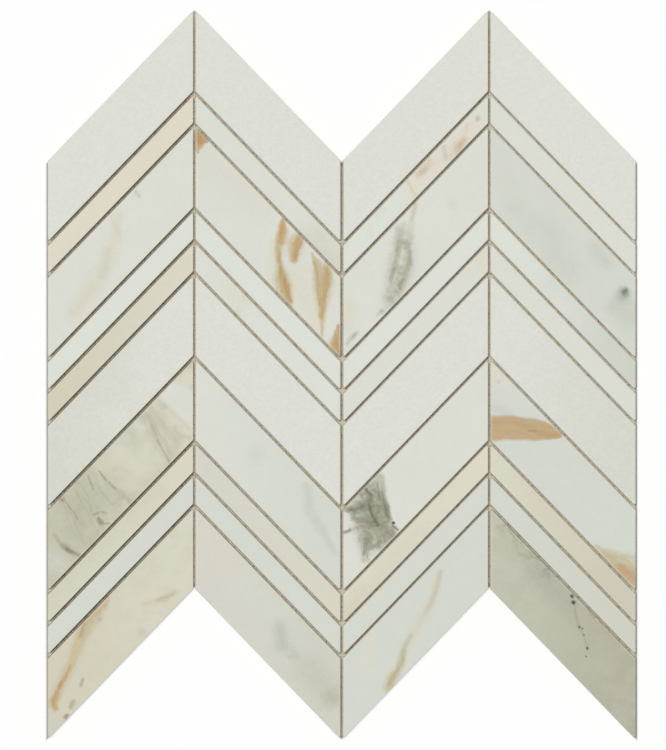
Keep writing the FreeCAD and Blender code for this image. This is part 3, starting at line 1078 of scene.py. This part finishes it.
        stroke(Tone.CUSTARD, 0.6, (17, -121, 1.8), (15, -131, 2), (10, -144, 4)),
        stroke(Tone.CUSTARD, 0.5, (49, -98, 2), (44, -112, 2.6), (35, -128, 3), (26, -149, 4.4)),
        stroke(Tone.DUST, 0.35, (49, -98, 1.4), (44.5, -112, 2), (37.4, -124, 2.2), (31, -136, 2)),
        stroke(Tone.FAWN, 0.3, (49.4, -97.6, 0.8), (47.8, -103, 1.2), (46, -107, 1)),
        stroke(Tone.SAGE, 0.5, (45.6, -108, 0.9), (44, -113, 1.2), (41.4, -118, 1)),
        stroke(Tone.OLIVE, 0.3, (34.4, -129, 0.8), (31.4, -135, 1.2), (30, -139, 1)),
        stroke(Tone.SAND, 0.8, (31, -137, 0.9), (29, -143, 1.7), (26.4, -149, 2.2), (23.4, -155, 2.6)),
        stroke(Tone.OLIVE, 0.4, (30, -140, 0.7), (27.4, -146.6, 1.1), (24, -153, 1.3)),
        stroke(Tone.SAGE, 0.7, (30.4, -137, 1.1), (28.8, -140.4, 1.3), (27.6, -144, 1)),
    )),
    # Fourth column, from the top.
    (4, 2): Marble(Tone.CHALK, Tone.CHALK),
    (4, 3): Marble(Tone.MIST, Tone.MIST, veins=(
        stroke(Tone.PALE_LILAC, 0.6, (80, 98, 5), (86, 88, 5)),
        stroke(Tone.SLATE, 0.08, (84, 82, 4), (97, 74, 5)),
        stroke(Tone.SLATE, 0.12, (104, 72, 4), (106, 58, 6), (112, 52, 6)),
        stroke(Tone.SLATE, 0.15, (126, 62, 4), (132, 56, 3)),
        stroke(Tone.SLATE, 0.22, (134.4, 33.6, 3), (138.6, 37.6, 4)),
        stroke(Tone.SLATE, 0.6, (139.6, 39.6, 2.6)),
        stroke(Tone.PEAT, 0.6, (140.4, 40.6, 1.6)),
        stroke(Tone.SAGE, 0.4, (143, 30, 6)),
    )),
    (4, 4): Marble(Tone.FROST, Tone.DIM, sugar=0.3, cloud=0.3),
    (4, 5): Marble(Tone.CHALK, Tone.CHALK),
    # Right end painted darker: painted shade where the light falls off at the sheet's side.
    (4, 6): Marble(Tone.SUGAR, Tone.GREY_SUGAR, sugar=1.0, gloss=0.38),
    (4, 7): Marble(Tone.MIST, Tone.MIST, veins=(
        stroke(Tone.CREAM, 0.7, (74, 4, 3), (80, -3, 3.5)),
        stroke(Tone.GOLD, 0.3, (77.3, -3.7, 0.9)),
        stroke(Tone.SLATE, 0.15, (75, -17, 3), (83, -20, 2)),
        stroke(
            Tone.FAWN, 0.97, (70, -26.6, 5.9), (85, -26.4, 5.7), (95, -27, 5.2), (102.5, -28.2, 3.8),
            (107.5, -29.6, 1.8), edge=0.16, fibre=0.1
        ),
        stroke(Tone.OCHRE, 0.4, (96, -28.5, 1), (103, -29.6, 1.6), (108, -30, 0.9)),
        stroke(Tone.GOLD, 0.3, (72, -27.5, 2.4), (79, -29.5, 1.8)),
        stroke(Tone.OCHRE, 0.25, (74, -23.5, 0.8), (86, -24.5, 1), (96, -25.5, 0.8)),
        stroke(Tone.RUST, 0.4, (92.5, -27.6, 0.5), (96, -27.9, 0.5)),
        stroke(
            Tone.DUST, 0.9, (126, -86, 1.4), (132, -90, 3.4), (138, -94, 5), (144, -98, 6), edge=0.6,
            fibre=0.4
        ),
        stroke(Tone.SAND, 0.55, (130, -88, 1.4), (137, -89.6, 2.2), (145, -91, 2.4), fibre=0.6),
        stroke(Tone.SAND, 0.8, (130, -90, 1.6), (136, -94, 2.6), (141, -98, 3.4)),
        stroke(Tone.FAWN, 0.8, (137, -96, 2.2), (141, -100, 4), (145, -105, 4.4), edge=0.9),
        stroke(Tone.OCHRE, 0.3, (138, -95, 1.4), (144, -101, 2)),
    )),
    (4, 8): Marble(Tone.PARCHMENT, Tone.OATMEAL, veins=(
        stroke(Tone.BUTTER, 0.9, (100, -62, 8), (122, -84, 8)),
        stroke(Tone.ROSE, 0.15, (90, -48, 4), (99, -58, 4)),
    )),
    (4, 9): Marble(Tone.MIST, Tone.PALE_ASH, sugar=0.3, cloud=0.3),
    (4, 10): Marble(Tone.PALE_SAGE, Tone.MOSS, mottle=Tone.SAGE, veins=(
        stroke(Tone.ROSE, 0.15, (78, -77, 4)),
        stroke(Tone.MOSS, 0.5, (120, -120, 7), (138, -138, 8)),
        stroke(Tone.SLATE, 0.25, (96, -96, 6), (112, -112, 6)),
        stroke(Tone.FOG, 0.35, (80, -75, 3), (90, -86, 4), (104, -99, 3), patch=4.0),
        stroke(Tone.UMBER, 0.55, (81, -73.4, 1), (91, -83.8, 1.3), (103, -96, 1.1), patch=1.6),
        stroke(Tone.PEAT, 0.6, (82, -73.8, 0.7), (92, -84, 0.9), (108, -100.6, 0.8), patch=1.1),
        stroke(Tone.UMBER, 0.5, (122, -115.6, 0.8), (132, -126, 0.9), (140, -134.4, 0.9), patch=1.6),
        stroke(
            Tone.UMBER, 0.22, (114.8, -114, 0.5), (116, -121, 0.6), (119.6, -128, 0.6), (121.3, -134, 0.5)
        ),
        stroke(Tone.PEAT, 0.95, (114.3, -109.6, 0.95), edge=0.5),
        stroke(Tone.PEAT, 0.95, (114.5, -112.8, 1.1), edge=0.5),
        stroke(Tone.PEAT, 0.75, (118, -125, 0.65), edge=0.6),
        stroke(Tone.PEAT, 0.6, (119.4, -125.8, 0.5), edge=0.6),
        stroke(Tone.PEAT, 0.6, (120.5, -129, 0.5), edge=0.6),
        stroke(Tone.PEAT, 0.8, (121.5, -135, 0.7), edge=0.6),
        stroke(Tone.PEAT, 0.7, (121, -139.5, 0.5), edge=0.6),
    )),
}


@dataclass
class StoneField:
    """The forty marble strips, which keep their CAD shapes and get their finishes."""

    PLAIN_ROWS = {1: SUGARY, 4: COOL, 6: SUGARY, 9: COOL_SHADED}

    def stones(self) -> Iterator[Stone]:
        """Each stone, column by column from the top.

        Returns:
            The stones, one after another.
        """
        for column in range(1, LAYOUT.columns + 1):
            for row in range(1, LAYOUT.rows + 1):
                yield Stone(column, row)

    def marble_of(self, stone: Stone) -> Marble:
        """The finish that a stone has."""
        return VEINED.get((stone.column, stone.row)) or self.PLAIN_ROWS[stone.row]

    def dress(self) -> None:
        """Gives each stone its own marble."""
        for stone in self.stones():
            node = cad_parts[stone.name]
            for slot in node.material_slots:
                slot.material = self.marble_of(stone).dress(stone)
        LOG.info("dressed %d stones", LAYOUT.columns * LAYOUT.rows)


@dataclass(frozen=True)
class YarnFinish:
    """Glass yarn: fine filaments along the yarn under a coat of resin."""

    name: str
    stretch: Point

    RESIN_SIZE = 3.0
    FILAMENT_SHARE = 0.6
    SHADE = (0.35, 0.65)
    ROUGHNESS = (0.35, 0.3)
    RELIEF = 0.06
    REFRACTION = 1.5

    def dress(self) -> bpy.types.Material:
        """Makes the yarn's material.

        Returns:
            The material.
        """
        material = bpy.data.materials.new(self.name)
        recipe = Recipe(material)
        place = recipe.place()
        filaments = recipe.noise(recipe.vector("MULTIPLY", place, self.stretch), 1.0, BROKEN)
        resin = recipe.noise(place, self.RESIN_SIZE, BROKEN)
        mixed = filaments * self.FILAMENT_SHARE + resin * (1 - self.FILAMENT_SHARE)
        colour = recipe.mix(mixed.fade(*self.SHADE), Tone.YARN_SHADE.linear, Tone.GLASS_YARN.linear)
        least, more = self.ROUGHNESS
        rough = least + resin * more
        painted = {"Base Color": colour, "Roughness": rough, "Normal": recipe.bump(filaments, self.RELIEF)}
        recipe.surface({"IOR": self.REFRACTION}, painted)
        return material


class Bench:
    """The bench on which new pieces are shaped, a unit to the millimetre, before they go to the sheet."""

    WELD = 0.001
    TOUCH = 0.0001

    @staticmethod
    def clear() -> None:
        """Leaves nothing selected, so that the next tool acts on its own piece only."""
        bpy.ops.object.select_all(action="DESELECT")

    @staticmethod
    def ring(name: str, sides: int, radii: tuple[float, float], place: Point) -> bpy.types.Object:
        """An upright ring of edges that faces along Y, the start of a yarn.

        Args:
            name: the piece's name
            sides: how many corners the ring has
            radii: its half width and its half height
            place: its middle

        Returns:
            The piece, in edit mode with the ring selected.
        """
        Bench.clear()
        bpy.ops.mesh.primitive_circle_add(
            vertices=sides, radius=1.0, location=(0, 0, 0), rotation=(math.pi / 2, 0, 0), enter_editmode=False
        )
        piece = bpy.context.object
        piece.name = name
        bpy.ops.object.transform_apply(location=False, rotation=True, scale=False)
        bpy.ops.object.mode_set(mode="EDIT")
        bpy.ops.mesh.select_all(action="SELECT")
        bpy.ops.transform.resize(value=(radii[0], 1.0, radii[1]), center_override=(0, 0, 0))
        bpy.ops.transform.translate(value=place)
        return piece

    @staticmethod
    @contextmanager
    def editing(piece: bpy.types.Object) -> Iterator[None]:
        """Opens a piece in edit mode with all of it selected, and closes it again.

        Args:
            piece: the piece
        """
        Bench.clear()
        bpy.context.view_layer.objects.active = piece
        piece.select_set(True)
        bpy.ops.object.mode_set(mode="EDIT")
        bpy.ops.mesh.select_all(action="SELECT")
        yield
        bpy.ops.object.mode_set(mode="OBJECT")

    @staticmethod
    def pick(piece: bpy.types.Object, wanted: Callable[[Vector], bool]) -> None:
        """Selects the faces whose middles are wanted, in edit mode.

        Args:
            piece: the piece that is being edited
            wanted: tells from a face's middle whether it is
        """
        shape = bmesh.from_edit_mesh(piece.data)
        for face in shape.faces:
            face.select_set(wanted(face.calc_center_median()))
        shape.select_flush(True)
        shape.select_flush(False)
        bmesh.update_edit_mesh(piece.data)

    @staticmethod
    def repeat(piece: bpy.types.Object, step: Point, count: int, weld: bool = False) -> None:
        """Sets copies of a piece in a row and keeps them in its mesh.

        Args:
            piece: the piece
            step: from one copy to the next
            count: how many there are in all
            weld: whether neighbours share the points at which they meet
        """
        row = piece.modifiers.new("row", "ARRAY")
        row.use_relative_offset = False
        row.use_constant_offset = True
        row.constant_offset_displace = step
        row.count = count
        row.use_merge_vertices = weld
        row.merge_threshold = Bench.WELD
        bpy.ops.object.modifier_apply(modifier=row.name)

    @staticmethod
    def sway(piece: bpy.types.Object, axis: str, size: float, strength: float) -> None:
        """Lets a piece wander a little to the sides, as cloth does.

        Args:
            piece: the piece
            axis: X or Y, the way that it wanders
            size: how long one wave is
            strength: how far it goes from one side to the other
        """
        waves = bpy.data.textures.new(f"sway_{axis}", "CLOUDS")
        waves.noise_scale = size
        waves.noise_depth = 1
        push = piece.modifiers.new("sway", "DISPLACE")
        push.texture = waves
        push.texture_coords = "LOCAL"
        push.direction = axis
        push.mid_level = MEAN
        push.strength = strength
        bpy.ops.object.modifier_apply(modifier=push.name)

    @staticmethod
    def to_metres(piece: bpy.types.Object) -> None:
        """Brings a finished piece from the bench's millimetres to the sheet's metres.

        Args:
            piece: the piece
        """
        piece.scale = (1 / METRE,) * 3
        bpy.ops.object.transform_apply(location=False, rotation=False, scale=True)
        bpy.ops.object.shade_smooth()


@dataclass
class BackingMesh:
    """The glass-fibre mesh on the backs: flat weft rovings, each held between pairs of warp strands."""

    strand_sides: int = 5
    strand_radius: float = 0.075
    twist_radius: float = 0.125
    flattening: float = 2.0
    steps_per_half_turn: int = 3
    roving_sides: int = 6
    roving_wide: float = 0.46
    roving_tight: float = 0.36
    roving_thickness: float = 0.05
    roving_cell: Point = (0.25, 0.5, 0.25)
    warp_node: str = "mesh_warp_yarns"
    weft_node: str = "mesh_weft_yarns"
    slot: str = "glass_fibre_yarn"
    sway: float = 0.5
    sway_size: float = 22.0
    filament_long: float = 0.5
    filament_fine: float = 9.0

    @property
    def middle(self) -> float:
        """The height of the mesh's middle layer."""
        low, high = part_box(self.warp_node)[1].z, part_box(self.weft_node)[0].z
        return (low + high) / 2 * METRE

    @property
    def half_width(self) -> float:
        """From the sheet's middle to the ends of the wefts."""
        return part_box(self.weft_node)[1].x * METRE

    @property
    def peak(self) -> float:
        """The height in the sheet of the mesh's top points, where two columns meet.

        Returns:
            The height, in millimetres.
        """
        stone = Stone(1, 1)
        top = stone.centre.y + (LAYOUT.run * LAYOUT.slope + LAYOUT.height_of(stone.strip)) / 2
        return top + LAYOUT.joint / 2 * LAYOUT.slope - self.inset

    @property
    def foot(self) -> float:
        """The height in the sheet of the mesh's lowest cut under those points.

        Returns:
            The height, in millimetres.
        """
        stone = Stone(1, LAYOUT.rows)
        foot = stone.centre.y + (LAYOUT.run * LAYOUT.slope - LAYOUT.height_of(stone.strip)) / 2
        return foot + LAYOUT.joint / 2 * LAYOUT.slope + self.inset

    @property
    def inset(self) -> float:
        """How far above or below the stones' own edge the mesh is cut, along Y."""
        return LAYOUT.mesh_setback / math.cos(LAYOUT.angle)

    def build(self) -> None:
        """Makes both sets of yarns and sets them in place of the CAD ribbons."""
        long, fine = self.filament_long, self.filament_fine
        for piece, node, stretch in (
            (self.warps(), self.warp_node, (fine, long, fine)),
            (self.wefts(), self.weft_node, (long, fine, fine)),
        ):
            self.trim(piece)
            for axis in "XY":
                Bench.sway(piece, axis, self.sway_size, self.sway)
            Bench.to_metres(piece)
            piece.data.materials.append(YarnFinish(f"glass_yarn_{node}", stretch).dress())
            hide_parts(node)
            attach(piece, BODY)
            LOG.info("%s has %d faces", piece.name, len(piece.data.polygons))

    def warps(self) -> bpy.types.Object:
        """Pairs of strands that turn about each other once in two cells.

        Returns:
            The warp yarns over the sheet's whole height, untrimmed.
        """
        pitch = LAYOUT.mesh_pitch
        turn = 2 * pitch
        turns = math.ceil((self.peak - self.foot + LAYOUT.column_pitch * LAYOUT.slope) / turn)
        bottom = -turns / 2 * turn
        side = -self.half_width + self.flattening * (self.twist_radius + self.strand_radius)
        first = round(side / pitch - 0.5) * pitch + pitch / 2
        radii = (self.strand_radius, self.strand_radius)
        steps = 2 * self.steps_per_half_turn
        piece = Bench.ring("glass_yarn_warps", self.strand_sides, radii, (0.0, bottom, self.twist_radius))
        for _ in range(steps):
            bpy.ops.mesh.extrude_region_move(TRANSFORM_OT_translate={"value": (0, turn / steps, 0)})
            bpy.ops.transform.rotate(value=2 * math.pi / steps, orient_axis="Y", center_override=(0, 0, 0))
        bpy.ops.object.mode_set(mode="OBJECT")
        Bench.repeat(piece, (0, turn, 0), turns, weld=True)
        self.add_turned_copy(piece)
        with Bench.editing(piece):
            bpy.ops.transform.resize(value=(self.flattening, 1, 1), center_override=(0, 0, 0))
            bpy.ops.transform.translate(value=(first, 0, self.middle))
        Bench.repeat(piece, (pitch, 0, 0), round(-2 * first / pitch) + 1)
        return piece

    @staticmethod
    def add_turned_copy(piece: bpy.types.Object) -> None:
        """Adds the second strand, half a turn round from the first.

        Args:
            piece: the first strand
        """
        with Bench.editing(piece):
            bpy.ops.mesh.duplicate()
            bpy.ops.transform.rotate(value=math.pi, orient_axis="Y", center_override=(0, 0, 0))

    def wefts(self) -> bpy.types.Object:
        """Flat rovings, pinched where a pair of strands holds them.

        Returns:
            The weft yarns over the sheet's whole width, untrimmed.
        """
        pitch = LAYOUT.mesh_pitch
        cells = math.ceil(2 * self.half_width / pitch)
        start = -cells / 2 * pitch
        rows = 2 * math.floor((self.peak - pitch) / pitch) + 1
        piece = Bench.ring(
            "glass_yarn_wefts", self.roving_sides, (self.roving_tight, self.roving_thickness), (0.0, 0.0, 0.0)
        )
        spread = self.roving_wide / self.roving_tight
        for share, width in zip(self.roving_cell, (spread, 1.0, 1 / spread)):
            bpy.ops.mesh.extrude_region_move(TRANSFORM_OT_translate={"value": (0, share * pitch, 0)})
            bpy.ops.transform.resize(value=(width, 1, 1), center_override=(0, 0, 0))
        bpy.ops.object.mode_set(mode="OBJECT")
        Bench.repeat(piece, (0, pitch, 0), cells, weld=True)
        with Bench.editing(piece):
            bpy.ops.transform.rotate(value=math.pi / 2, orient_axis="Z", center_override=(0, 0, 0))
        ends = [corner[0] for corner in piece.bound_box]
        with Bench.editing(piece):
            bpy.ops.transform.translate(value=(start - min(ends), -(rows // 2) * pitch, self.middle))
        Bench.repeat(piece, (0, pitch, 0), rows)
        return piece

    def trim(self, piece: bpy.types.Object) -> None:
        """Cuts the yarns along the sheet's zigzag outline, set back from the stones' edges.

        Args:
            piece: the yarns
        """
        pitch = LAYOUT.column_pitch
        with Bench.editing(piece):
            for side in (-1, 1):
                self.cut((side * self.half_width, 0, 0), (side, 0, 0), clear=True)
            for border in (-pitch, 0.0, pitch):
                self.cut((border, 0, 0), (1, 0, 0), clear=False)
            for column in range(LAYOUT.columns):
                left = (column - LAYOUT.columns // 2) * pitch
                crest = -pitch if left < 0 else pitch
                slope = LAYOUT.slope if column % 2 == 0 else -LAYOUT.slope
                for level, out in ((self.peak, 1), (self.foot, -1)):
                    Bench.pick(piece, lambda middle: left < middle.x < left + pitch)
                    self.cut((crest, level, 0), (-slope * out, out, 0), clear=True)

    @staticmethod
    def cut(place: Point, outward: Point, clear: bool) -> None:
        """One straight cut through what is selected.

        Args:
            place: a point of the cut
            outward: the way out of the sheet
            clear: whether what lies outside the cut goes
        """
        bpy.ops.mesh.bisect(
            plane_co=place, plane_no=outward, use_fill=clear, clear_outer=clear, threshold=Bench.TOUCH
        )
        bpy.ops.mesh.select_all(action="SELECT")


@dataclass
class Studio:
    """A pale table under soft daylight, with the camera straight above.

    The table's size, the camera's height and the lamp's size and distance are metres, and the other
    lengths millimetres.
    """

    sky: float = 0.415
    key: float = 0.56
    key_size: float = 1.3
    key_distance: float = 9.0
    key_azimuth: float = math.radians(134)
    key_height: float = math.radians(86)
    key_tint: tuple[float, float, float] = (1.04, 1.0, 0.9)
    table_size: float = 12.0
    camera_height: float = 8.0
    aim: tuple[float, float] = (-4.33, -0.1)
    view_height: float = 371.3
    sensor: float = 36.0
    table_glow: float = 0.8
    shade_reach: float = 2.0
    # How far inside the outline the painted shade under the sheet gives way to the painted contact shadow.
    under_sheet_shade_inset: float = 0.8
    # Where the painted contact shadow round the outline is full and where it has gone, in millimetres outside
    # the outline.
    contact_shadow_full: float = 0.5
    contact_shadow_end: float = 1.5

    def build(self) -> None:
        """Sets up the table, the light and the camera."""
        self.table()
        self.daylight()
        self.key_lamp()
        self.camera()
        LOG.info("studio is set")

    @staticmethod
    def unlit_share(recipe: Recipe) -> Signal:
        """Tells the rays that show the background itself: the camera's, and those mirrored or let through.

        Args:
            recipe: the recipe that asks

        Returns:
            1 for those rays and 0 for all others.
        """
        seen = recipe.node("ShaderNodeLightPath", output="Is Camera Ray")
        outputs = seen.socket.node.outputs
        mirrored = Signal(recipe, outputs["Is Glossy Ray"])
        through = Signal(recipe, outputs["Is Transmission Ray"])
        return (seen + mirrored + through).clamp()

    def table(self) -> None:
        """A wide pale table just under the mesh, with painted shade under the sheet and a painted contact
        shadow round its outline.
        """
        Bench.clear()
        bpy.ops.mesh.primitive_plane_add(size=self.table_size, location=(0, 0, 0))
        table = bpy.context.object
        table.name = "table"
        material = bpy.data.materials.new("table_paper")
        recipe = Recipe(material)
        outside = self.outside(recipe)
        clear = outside.fade(self.contact_shadow_full, self.shade_reach)
        # The table is painted darker and warmer under the sheet: painted shade seen through the joints.
        colour = recipe.mix(outside.fade(-self.under_sheet_shade_inset, 0.0), Tone.CARD.linear, Tone.CREASE.linear)
        # Painted shadow: a grey ring on the table from just under the sheet's edge to a little outside it,
        # then white paper.
        colour = recipe.mix(outside.fade(self.contact_shadow_full, self.contact_shadow_end), colour, Tone.PAPER.linear)
        paper = recipe.node("ShaderNodeBsdfDiffuse", inputs={"Color": colour})
        glow = recipe.node("ShaderNodeEmission", inputs={"Color": (1, 1, 1, 1), "Strength": 1.0})
        share = self.unlit_share(recipe) * clear * self.table_glow
        mixed = recipe.node("ShaderNodeMixShader", inputs={0: share, 1: paper, 2: glow})
        recipe.node("ShaderNodeOutputMaterial", inputs={"Surface": mixed})
        table.data.materials.append(material)

    @staticmethod
    def outside(recipe: Recipe) -> Signal:
        """How far a point of the table lies outside the sheet's outline.

        Args:
            recipe: the table's recipe

        Returns:
            The distance in millimetres, below 0 under the sheet.
        """
        low, high = CAD_BOX[0] * METRE, CAD_BOX[1] * METRE
        x, y, _ = recipe.axes(recipe.place())
        aside = abs(x)
        drop = abs(aside - LAYOUT.column_pitch) * LAYOUT.slope
        column = high.y - low.y - LAYOUT.column_pitch * LAYOUT.slope
        above = (y - high.y + drop) * math.cos(LAYOUT.angle)
        below = (high.y - column - y - drop) * math.cos(LAYOUT.angle)
        return above.most(below).most(aside - high.x)

    def daylight(self) -> None:
        """An even sky, which the camera sees as white."""
        world = bpy.data.worlds.new("daylight")
        bpy.context.scene.world = world
        recipe = Recipe(world)
        share = self.key / (self.key + self.sky)
        cool = tuple((1 - share * part) / (1 - share) * self.sky for part in self.key_tint)
        colour = recipe.mix(self.unlit_share(recipe), (*cool, 1.0), (1.0, 1.0, 1.0, 1.0))
        sky = recipe.node("ShaderNodeBackground", inputs={"Color": colour, "Strength": 1.0})
        recipe.node("ShaderNodeOutputWorld", inputs={"Surface": sky})

    def key_lamp(self) -> None:
        """A soft lamp almost overhead, a little to the upper left, which casts the joints' shadows.

        Its power is what a disk needs to give its share of the light at the sheet's middle.
        """
        power = self.key * math.pi**2 * self.key_distance**2 / math.sin(self.key_height)
        lamp = bpy.data.lights.new("key", "AREA")
        lamp.shape = "DISK"
        lamp.size = self.key_size
        lamp.energy = power
        lamp.color = self.key_tint
        holder = bpy.data.objects.new("key", lamp)
        bpy.context.scene.collection.objects.link(holder)
        level = self.key_distance * math.cos(self.key_height)
        holder.location = (
            level * math.cos(self.key_azimuth),
            level * math.sin(self.key_azimuth),
            self.key_distance * math.sin(self.key_height),
        )
        holder.rotation_euler = (-holder.location).to_track_quat("-Z", "Y").to_euler()
        holder.visible_glossy = False

    def camera(self) -> None:
        """The camera straight above the sheet, framed at the height of its faces."""
        lens = bpy.data.cameras.new("camera")
        lens.sensor_width = self.sensor
        lens.lens = self.sensor * self.camera_height * METRE / self.view_height
        holder = bpy.data.objects.new("camera", lens)
        bpy.context.scene.collection.objects.link(holder)
        face = CAD_BOX[1].z
        holder.location = (self.aim[0] / METRE, self.aim[1] / METRE, face + self.camera_height)
        bpy.context.scene.camera = holder
        bpy.context.scene.view_settings.view_transform = "Standard"


def main() -> None:
    """Builds and dresses the sheet, then sets up the studio."""
    logging.basicConfig(level=logging.INFO, format="%(name)s: %(message)s")
    StoneField().dress()
    BackingMesh().build()
    Studio().build()


if __name__ == "__main__":
    main()
